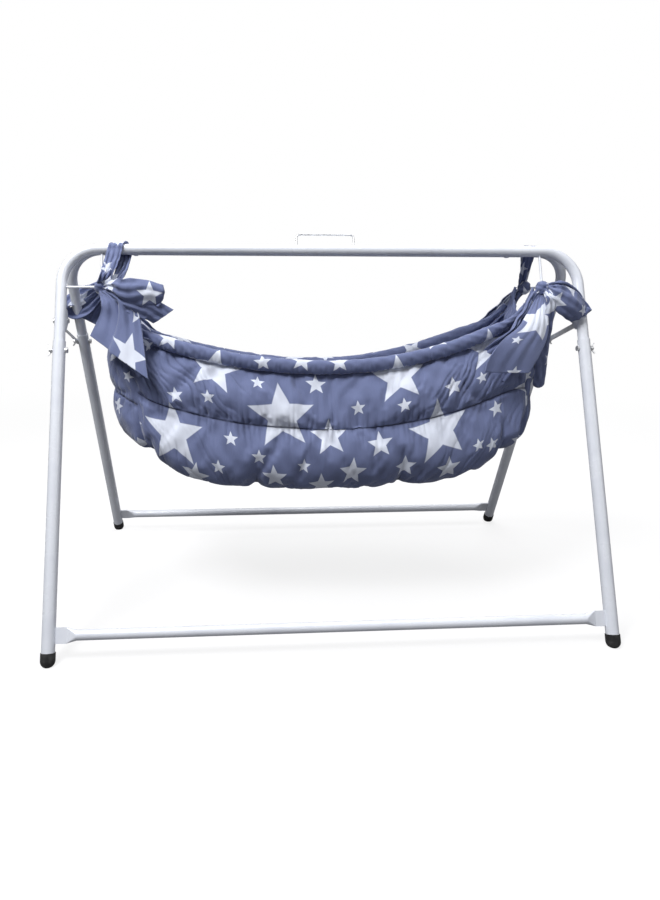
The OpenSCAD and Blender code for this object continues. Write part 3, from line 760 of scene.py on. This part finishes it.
def makeBase():
    # Floor of the bed: lengthwise s, crosswise t. Its underside bulges between the cross seams.
    s = np.linspace(-1, 1, 300)[None, :]
    t = np.linspace(-1, 1, 90)[:, None]
    tuck = 0.005  # the floor reaches this far in between the walls' lower edges
    halfX = lerp(bed["endBaseX"], bed["baseX"], np.abs(t) ** 3) + tuck
    halfY = lerp(bed["underY"], bed["cornerY"][2], np.abs(s) ** 3) + tuck
    x, y = s * halfX, t * halfY
    lobes = 1 - np.clip(sum(np.exp(-np.abs(x - c) / bed["crossWidth"]) for c in
                            (*bed["crossSeams"], -bed["baseX"], bed["baseX"])), 0, 1)
    rim = (1 - np.abs(t) ** 4) ** 0.5 * (1 - np.abs(s) ** 12) ** 0.5
    crease = 0.0012 * roam(x, y, 121, 0.06) * rim
    under = stack(x, y, underAt(x) + 0.001 - 0.010 * rim * (0.35 + 0.65 * lobes) + crease)
    above = stack(x, y, underAt(x) + 0.012 + 0.011 * rim * (0.5 + 0.5 * lobes) + crease)
    pad = makeShell("base_floor_pad", under, above, np.stack(np.broadcast_arrays(x, y + 0.3), -1))
    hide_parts("base_pad")
    finishCloth(pad, "cradle")
    print("base made")


def sweep(path, across, radius, sides, squeeze=1.0):
    # Rings of an oval around a path: across is each ring's first direction, squeeze the other's share
    ahead = unit(np.gradient(path, axis=0))
    first = unit(across - (across * ahead).sum(-1, keepdims=True) * ahead)
    second = np.cross(ahead, first)
    a = np.linspace(0, 2 * math.pi, sides, endpoint=False)
    wide = radius[:, None, None] * np.cos(a)[None, :, None] * first[:, None]
    deep = radius[:, None, None] * squeeze * np.sin(a)[None, :, None] * second[:, None]
    return path[:, None] + wide + deep, a


rimLook = dict(halfHigh=0.0145, squeeze=0.72, ends=0.955, lift=0.012)


def makeRims():
    for side, name, topZ, seed in ((-1, "front_rim", bed["frontZ"], 201), (1, "back_rim", bed["backZ"], 231)):
        s = np.linspace(-rimLook["ends"], rimLook["ends"], 520)
        path = longAt(s, 0 * s, topZ, side)
        along = np.concatenate([[0], np.cumsum(np.linalg.norm(np.diff(path, axis=0), axis=-1))])
        along = along - np.interp(0, s, along)
        down = longAt(s[None, :], np.linspace(0, 1, 40)[:, None] * longSeam(s), topZ, side)
        seamUp = np.linalg.norm(np.diff(down, axis=0), axis=-1).sum(0)
        slim = lerp(1.0, 0.40, smooth(0.75, 1.0, np.abs(s) / rimLook["ends"]))
        radius = rimLook["halfHigh"] * slim * (1 + 0.03 * roam(along, 0, seed, 0.06))
        ahead = unit(np.gradient(path, axis=0))
        up = unit(np.array([0, 0, 1.0]) - ahead[:, 2:] * ahead)
        path = path + up * rimLook["lift"] * slim[:, None]
        rings, a = sweep(path, up, radius, 28, rimLook["squeeze"])
        wrinkle = 0.0007 * np.sin(2 * math.pi * along / 0.012 + 2 * roam(along, 0, seed + 3, 0.05))[:, None]
        wrinkle = wrinkle * (0.5 - 0.5 * np.cos(a))[None, :]
        wrinkle = wrinkle + 0.0007 * roam(along[:, None], a * 0.02, seed + 5, 0.03)
        rings = rings + unit(rings - path[:, None]) * wrinkle[..., None]
        over = np.mod(side * (a - math.pi), 2 * math.pi)  # angle from the wall's seam, outside first
        uv = np.stack(np.broadcast_arrays(along[:, None], seamUp[:, None] + rimLook["halfHigh"] * over), -1)
        roll = makeTube(name + "_roll", rings, uv)
        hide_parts(name)
        finishCloth(roll, "cradle")
    print("rim rolls made")


wallFace = makeBed()
makeBase()
makeRims()


def curve(points, count):
    # Smooth path through a few points: Catmull-Rom pieces, then even steps along its length
    p = np.array(points, float)
    p = np.concatenate([[2 * p[0] - p[1]], p, [2 * p[-1] - p[-2]]])
    t = np.linspace(0, 1, 24, endpoint=False)[:, None]
    runs = []
    for i in range(1, len(p) - 2):
        a, b, c, d = p[i - 1:i + 3]
        runs.append(0.5 * (2 * b + (c - a) * t + (2 * a - 5 * b + 4 * c - d) * t ** 2
                           + (3 * b - a - 3 * c + d) * t ** 3))
    line = np.concatenate(runs + [p[-2:-1]])
    far = np.concatenate([[0], np.cumsum(np.linalg.norm(np.diff(line, axis=0), axis=-1))])
    even = np.linspace(0, far[-1], count)
    return np.stack([np.interp(even, far, line[:, k]) for k in range(3)], -1), far[-1]


def along(values, count):
    # A few values spread smoothly over a path's length
    t = np.linspace(0, len(values) - 1, count)
    low = np.minimum(t.astype(int), len(values) - 2)
    share = t - low
    share = (share * share * (3 - 2 * share))
    v = np.array(values, float)
    if v.ndim == 2:
        share = share[:, None]
    return v[low] * (1 - share) + v[low + 1] * share


def ribbon(name, points, across, widths, pleats, folds=3, curl=0.0, cut=0.045, spot=(0, 0), thick=0.0012,
           seed=1, count=170, wide=34, slant=0.0, roundEnd=0.0):
    # A cloth band along a path. across gives the band's width direction, widths its width and pleats the
    # height of its lengthwise pleats, each at a few places along the path. cut is the band's flat width.
    path, length = curve(points, count)
    ahead = unit(np.gradient(path, axis=0))
    side = along(across, count)
    side = unit(side - (side * ahead).sum(-1, keepdims=True) * ahead)
    face = np.cross(ahead, side)
    a = np.linspace(-1, 1, wide)[None, :]
    w = along(widths, count)[:, None]
    h = along(pleats, count)[:, None]
    far = np.linspace(0, length, count)[:, None]
    if roundEnd:
        w = w * np.sqrt(1 - 0.96 * np.clip((far - length + roundEnd) / roundEnd, 0, 1) ** 2)
    wave = np.sin(math.pi * folds * a + 1.3 * np.sin(far * 60 + seed) + seed)
    lift = h * wave + curl * w * a ** 2 + 0.0009 * roam(far, a * 0.03, seed, 0.03)
    slip = 0.25 * h * np.cos(math.pi * folds * a * 2 + seed)
    grid = path[:, None] + (a * w / 2 + slip)[..., None] * side[:, None] + lift[..., None] * face[:, None]
    grid = grid + (slant * a * (far / length) ** 4)[..., None] * ahead[:, None]
    normal = gridNormals(grid)
    uv = np.stack(np.broadcast_arrays(far + spot[0], a * cut / 2 + spot[1]), -1)
    band = makeShell(name, grid + normal * thick / 2, grid - normal * thick / 2, uv)
    return band


def knotBall(name, node, seed):
    # A wrapped knot: a ball whose surface is wound by two crossing bands with deep edges
    centre = middleOf(node)
    low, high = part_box(node)
    size = (high[2] - low[2]) / 2
    rows, cols = 60, 90
    lat = np.linspace(0.05, math.pi - 0.05, rows)[:, None]
    lon = np.linspace(0, 2 * math.pi, cols, endpoint=False)[None, :]
    turn = lat * 1.6 + lon
    bands = 0.10 * np.abs(np.sin(1.5 * turn + seed)) ** 0.5 + 0.06 * np.abs(np.sin(4 * lat - lon + seed))
    r = size * (1.02 + bands + 0.04 * roam(lat, lon / 6, seed, 1.2))
    flat = r * np.sin(lat)
    rings = centre + stack(flat * np.cos(lon), flat * np.sin(lon), r * np.cos(lat) * 1.05)
    uv = np.stack(np.broadcast_arrays(lon * size + 0.1 * seed, lat * size), -1)
    ball = makeTube(name, rings, uv)
    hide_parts(node)
    return ball


def corner(side, end):
    # The elbow of a corner rod: side -1 left, end -1 front
    return np.array([side * knot[0], end * -knot[1], knot[2]])


def railAbove(side, end):
    # The middle line of a top rail, straight above and beside the elbow of a corner rod
    low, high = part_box("front_top_tube" if end < 0 else "back_top_tube")
    inner = high[1] if end < 0 else low[1]
    return np.array([side * knot[0], inner + end * railRadius, high[2] - railRadius])


def shifted(base, offsets):
    # Places given as millimetres from a spot on the frame
    return [tuple(np.array(base) + np.array(o) / 1000) for o in offsets]


railRadius = 0.011
neck = dict(reach=(0.985, 0.93, 0.86, 0.775), shorter=np.array([0, 0.02, 0.05, 0.09]),
            down=(0.02, 0.05, 0.10, 0.16), widths=(0.016, 0.034, 0.056, 0.074, 0.080),
            pleats=(0.0035, 0.0045, 0.0040, 0.0025, 0.0008), proud=(0.004, 0.010, 0.013, -0.004))


def makeNecks():
    # Gathered cloth from each knot down along the top of the long wall, where the pleats open out
    for side, end, name in ((-1, -1, "front_left"), (1, -1, "front_right"), (-1, 1, "back_left"),
                            (1, 1, "back_right")):
        topZ = bed["frontZ"] if end < 0 else bed["backZ"]
        s = side * (np.array(neck["reach"]) + (neck["shorter"] if side * end > 0 else 0))
        v = np.array(neck["down"])
        line = longAt(s, v, topZ, end)
        lower = longAt(s, v + 0.10, topZ, end)
        line = line + stack(0, end * np.array(neck["proud"]), 0)
        points = [tuple(corner(side, end) + np.array([-side * 0.004, 0, -0.006]))] + [tuple(p) for p in line]
        ways = unit(line - lower)
        pleated = ribbon(name + "_neck", points, [tuple(w) for w in ways], neck["widths"], neck["pleats"],
                         folds=6, cut=0.11, spot=(0.30 * side, 0.10 * end), seed=51 + side + 3 * end,
                         count=150, wide=90, thick=0.0016)
        finishCloth(pleated, "cradle")
    print("necks made")


def makeKnots():
    for side, left in ((-1, "left"), (1, "right")):
        for end, front in ((-1, "front"), (1, "back")):
            node = f"{front}_{left}_knot"
            ball = knotBall(node + "_wrap", node, 2 * side + end + 4)
            finishCloth(ball, front + "_frame")
    print("knots made")


makeKnots()


def makeFrontLeftTie():
    at, rail = corner(-1, -1), railAbove(-1, -1)
    bow = ribbon("front_left_bow_loop", shifted(at, [
        (5, -6, 0), (35.85, -48.52, -5), (49.85, -57.52, -9), (67.85, -62.52, -11),
        (90.85, -63.52, -12), (112.85, -59.52, -14),
        (130.85, -51.52, -18), (127.85, -43.52, -19), (96.85, -39.52, -14), (58.85, -38.52, -9), (6, -3, -2)]),
        [(0.1, -0.2, 1), (0, -0.2, 1), (0, -0.1, 1), (0.1, 0, 1), (0.45, 0, 0.9), (0.45, 0, 0.9), (0.1, 0, 1),
         (0.1, 0, 1)],
        [0.013, 0.030, 0.048, 0.058, 0.055, 0.046, 0.034, 0.034, 0.046, 0.040, 0.013],
        [0.0035, 0.0028, 0.0020, 0.0014, 0.0010, 0.0006, 0.0004, 0.0010, 0.0020, 0.0030, 0.0035],
        curl=-0.20, cut=0.056, spot=(-0.030, -0.036), seed=3, count=240, wide=44)
    tail = ribbon("front_left_bow_end", shifted(at, [
        (5, -6, -4), (48.85, -49.52, -22), (78.85, -54.52, -37), (106.85, -53.52, -44), (130.85, -48.52, -58)]),
        [(0.3, -0.2, 1), (0.4, -0.1, 1), (0.5, 0, 0.9), (0.66, 0, 0.75)],
        [0.012, 0.028, 0.040, 0.044, 0.045], [0.0035, 0.0028, 0.0018, 0.0012, 0.0010], cut=0.048,
        spot=(0.415, 0.095), seed=5, curl=-0.10, slant=0.011)
    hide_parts("front_left_bow")
    for band in (bow, tail):
        finishCloth(band, "front_frame")
    up = shifted(at, [(-1, -6, 8), (15.85, -15.52, 26)])
    over = shifted(rail, [(22.85, -27.5, -21), (27.85, -15, -2), (30.85, -9.7, 8.5), (34.85, 0, 13.5),
                          (39.85, 10, 8.5),
                          (43.85, 11.7, -3), (44.85, 2.5, -17)])
    down = shifted(at, [(39.85, 10.48, 34), (30.85, -11.52, 16), (5, -4, 6)])
    strap = ribbon(
        "front_left_strap_band", up + over + down,
        [(1, 0, 0.3)] * 3 + [(1, 0, 0.1)] * 4 + [(1, 0.1, 0.2)] * 4,
        [0.016, 0.024, 0.030, 0.031, 0.030, 0.028, 0.027, 0.026, 0.026, 0.024, 0.020, 0.014],
        [0.0034, 0.0030, 0.0026, 0.0018, 0.0008, 0.0006, 0.0008, 0.0018, 0.0026, 0.0030, 0.0032, 0.0034],
        cut=0.042, spot=(-0.362, 0.040), seed=7, folds=3, count=260)
    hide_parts("front_left_strap")
    finishCloth(strap, "front_frame")


def makeFrontRightTie():
    at = corner(1, -1)
    loop = ribbon("front_right_bow_loop", shifted(at, [
        (4, -6, 0), (1.15, -49.52, -7), (19.15, -57.52, -18), (39.15, -60.52, -32),
        (57.15, -56.52, -47), (70.15, -48.52, -59),
        (69.15, -39.52, -50), (50.15, -34.52, -26), (25.15, -33.52, -6), (6, -4, 5)]),
        [(0.3, -0.2, 1), (0.5, -0.1, 0.9), (0.64, 0, 0.77), (0.70, 0, 0.72), (0.8, 0, 0.6), (0.8, 0, 0.6),
         (0.64, 0, 0.77), (0.3, 0, 1)],
        [0.013, 0.030, 0.048, 0.056, 0.052, 0.040, 0.038, 0.040, 0.034, 0.013],
        [0.0035, 0.0030, 0.0020, 0.0012, 0.0008, 0.0005, 0.0006, 0.0012, 0.0024, 0.0035],
        curl=-0.24, cut=0.054, spot=(0.183, -0.092), seed=11, count=240, wide=44)
    inner = ribbon("front_right_bow_fold", shifted(at, [
        (4, -4, 4), (9.15, -41.52, 4), (37.15, -43.52, -6), (61.15, -41.52, -26),
        (76.15, -39.52, -45), (77.15, -38.52, -60)]),
        [(0.2, -0.6, 1), (0.5, -0.6, 0.9), (0.8, -0.5, 0.6), (1, -0.3, 0.2)],
        [0.012, 0.022, 0.026, 0.024, 0.020, 0.014], [0.003, 0.0026, 0.0018, 0.0014, 0.001, 0.001], cut=0.042,
        spot=(0.1, -0.06), seed=13, curl=-0.2)
    tail = ribbon("front_right_tail_band", shifted(at, [
        (3, -6, -2), (-2.85, -47.52, -14), (1.15, -51.52, -35), (-1.85, -49.52, -70),
        (-4.85, -47.52, -130), (-6.85, -46.52, -180),
        (-7.85, -45.52, -210)]),
        [(0.8, 0.3, 0.6), (1, 0.3, 0.4), (1, 0.2, 0), (1, 0.1, 0), (1, 0, 0)],
        [0.013, 0.020, 0.025, 0.026, 0.025, 0.027, 0.026],
        [0.003, 0.0026, 0.0018, 0.0012, 0.0008, 0.0006, 0.0006],
        cut=0.036, spot=(0.178, -0.047), seed=17, folds=2, curl=-0.12, roundEnd=0.010)
    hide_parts("front_right_bow")
    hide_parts("front_right_tail")
    for band in (loop, inner, tail):
        finishCloth(band, "front_frame")


def makeBackTies():
    at = corner(-1, 1)
    upper = ribbon("back_left_bow_loop", shifted(at, [
        (-4, 8, 2), (-30, 18, -2), (-66, 20, -16), (-98, 19, -40), (-84, 17, -52), (-50, 14, -34),
        (-20, 11, -10), (-4, 8, -2)]),
        [(0, 0.5, 1), (0.3, 0.5, 1), (-0.4, 0.5, 1), (-0.5, 0.4, 1), (-0.3, 0.5, 1), (0, 0.5, 1)],
        [0.012, 0.032, 0.044, 0.040, 0.044, 0.032, 0.012], [0.004, 0.003, 0.002, 0.001, 0.002, 0.003, 0.004],
        cut=0.05, spot=(0.15, 0.2), seed=23)
    lower = ribbon("back_left_bow_end", shifted(at, [
        (-4, 8, -2), (-22, 16, -20), (-40, 18, -50), (-54, 17, -78)]),
        [(1, 0.2, 0.6), (1, 0.2, 0.4), (1, 0.1, 0.3), (1, 0, 0.3)], [0.012, 0.026, 0.038, 0.040],
        [0.004, 0.003, 0.0018, 0.001], cut=0.042, spot=(-0.1, 0.24), seed=27)
    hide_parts("back_left_bow")
    at, rail = corner(1, 1), railAbove(1, 1)
    over = shifted(rail, [(-5.85, 24, -38), (-9.85, 15.5, -8), (-9.85, 12, 6), (-9.85, 1, 13.3),
                          (-11.85, -10.5, 4),
                          (-11.85, 4, -24), (-9.85, 18, -48)])
    strap = ribbon(
        "back_right_strap_band", shifted(at, [(-2, 10, 6)]) + over + shifted(at, [(-6, 4, 6)]),
        [(1, 0, 0)] * 8, [0.014, 0.020, 0.024, 0.025, 0.024, 0.020, 0.014],
        [0.0025, 0.0018, 0.0008, 0.0004, 0.0008, 0.0018, 0.0025], cut=0.034, spot=(-0.3, 0.16), seed=31, folds=2,
        count=220)
    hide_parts("back_right_strap")
    for band in (upper, lower, strap):
        finishCloth(band, "back_frame")


makeNecks()
makeFrontLeftTie()
makeFrontRightTie()
makeBackTies()
print("ties made")


def wallFront(grid, gap):
    # Keeps a hanging cloth in front of the front wall: the wall's foremost depth in 5 mm cells, softened
    cell, low = 0.005, np.array([-0.6, 0.2])
    wall = wallFace["front_wall"].reshape(-1, 3)
    depth = np.full((240, 120), 0.0)
    spot = ((wall[:, [0, 2]] - low) / cell).astype(int)
    np.minimum.at(depth, (spot[:, 0], spot[:, 1]), wall[:, 1])
    for step in range(3):
        depth = np.minimum(depth, (np.roll(depth, 1, 0) + np.roll(depth, -1, 0)
                                   + np.roll(depth, 1, 1) + np.roll(depth, -1, 1)) / 4)
    at = (grid[..., [0, 2]] - low) / cell - 0.5
    i = at.astype(int)
    t = at - i
    y = 0
    for a in (0, 1):
        for b in (0, 1):
            share = (t[..., 0] if a else 1 - t[..., 0]) * (t[..., 1] if b else 1 - t[..., 1])
            y = y + depth[i[..., 0] + a, i[..., 1] + b] * share
    return stack(grid[..., 0], np.minimum(grid[..., 1], y - gap), grid[..., 2])


def patch(name, left, right, depth, size, spot, seed, thick, pleats, fill=0.0, gap=0.004):
    # A draped panel between two side curves. depth(a, t) pushes it forwards, a across and t down.
    rows, cols = size
    sideL, longL = curve(left, rows)
    sideR, longR = curve(right, rows)
    a = np.linspace(0, 1, cols)[None, :]
    t = np.linspace(0, 1, rows)[:, None]
    grid = sideL[:, None] * (1 - a[..., None]) + sideR[:, None] * a[..., None]
    fall = lerp(pleats[0], pleats[1], t)
    push = depth(a, t) + fall * np.sin(a * 9 * math.pi + seed) + 0.0012 * roam(a * 0.1, t * 0.12, seed, 0.05)
    grid = wallFront(grid - stack(0, 1, 0) * push[..., None], gap)
    for step in range(4):
        y = grid[..., 1]
        grid[1:-1, 1:-1, 1] = (y[:-2, 1:-1] + y[2:, 1:-1] + y[1:-1, :-2] + y[1:-1, 2:]) / 4
    normal = gridNormals(grid)
    plump = thick / 2 + fill * (np.sin(a * math.pi) * np.sin(np.clip(t * 1.15 - 0.15, 0, 1) * math.pi)) ** 0.5
    breadth = np.linalg.norm(sideR - sideL, axis=-1)[:, None]
    fallen = t * (longL + longR) / 2
    uv = np.stack(np.broadcast_arrays((a - 0.5) * breadth + spot[0], spot[1] - fallen), -1)
    return makeShell(name, grid + normal * plump[..., None], grid - normal * thick / 2, uv)


def leftFold(a, t):
    # A long fold hangs from the knot: the cloth left of it lies behind, and right of it slopes back slowly
    past = a - lerp(0.60, 0.34, t)
    return 0.013 * smooth(-0.03, 0.04, past) * np.exp(-2.2 * np.maximum(past, 0)) * smooth(0, 0.25, t)


def makeCuffs():
    at = corner(-1, -1)
    left = patch(
        "left_cuff_cloth",
        shifted(at, [(-7, -3, -6), (5.85, -37.52, -30), (2.85, -43.52, -54), (-16.15, -55.52, -95)]),
        shifted(at, [(8, -6, -2), (68.85, -43.52, -22), (81.85, -47.52, -52), (88.85, -62.52, -83),
                     (95.85, -85.52, -122),
                     (103.85, -110.52, -175)]),
        leftFold, (130, 110), (-0.480, 0.272), 41, 0.0018, (0.003, 0.0004))
    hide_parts("left_front_cuff")
    at = corner(1, -1)
    right = patch(
        "right_cuff_cloth",
        shifted(at, [(-10, -2, -14), (-70.85, -65.52, -74), (-120.85, -100.52, -103), (-150.85, -115.52, -136),
                     (-159.85, -120.52, -164)]),
        shifted(at, [(4, -4, -14), (-5.85, -47.52, -52), (-8.85, -63.52, -93), (-32.85, -85.52, -134),
                     (-61.85, -105.52, -169)]),
        lambda a, t: 0.006 * np.sin(a * math.pi) * np.sin(t * math.pi * 0.9),
        (130, 110), (0.345, 0.203), 43, 0.003, (0.0012, 0.0), fill=0.014, gap=0.007)
    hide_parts("right_front_cuff")
    for cloth in (left, right):
        finishCloth(cloth, "cradle")
    print("cuffs made")


makeCuffs()
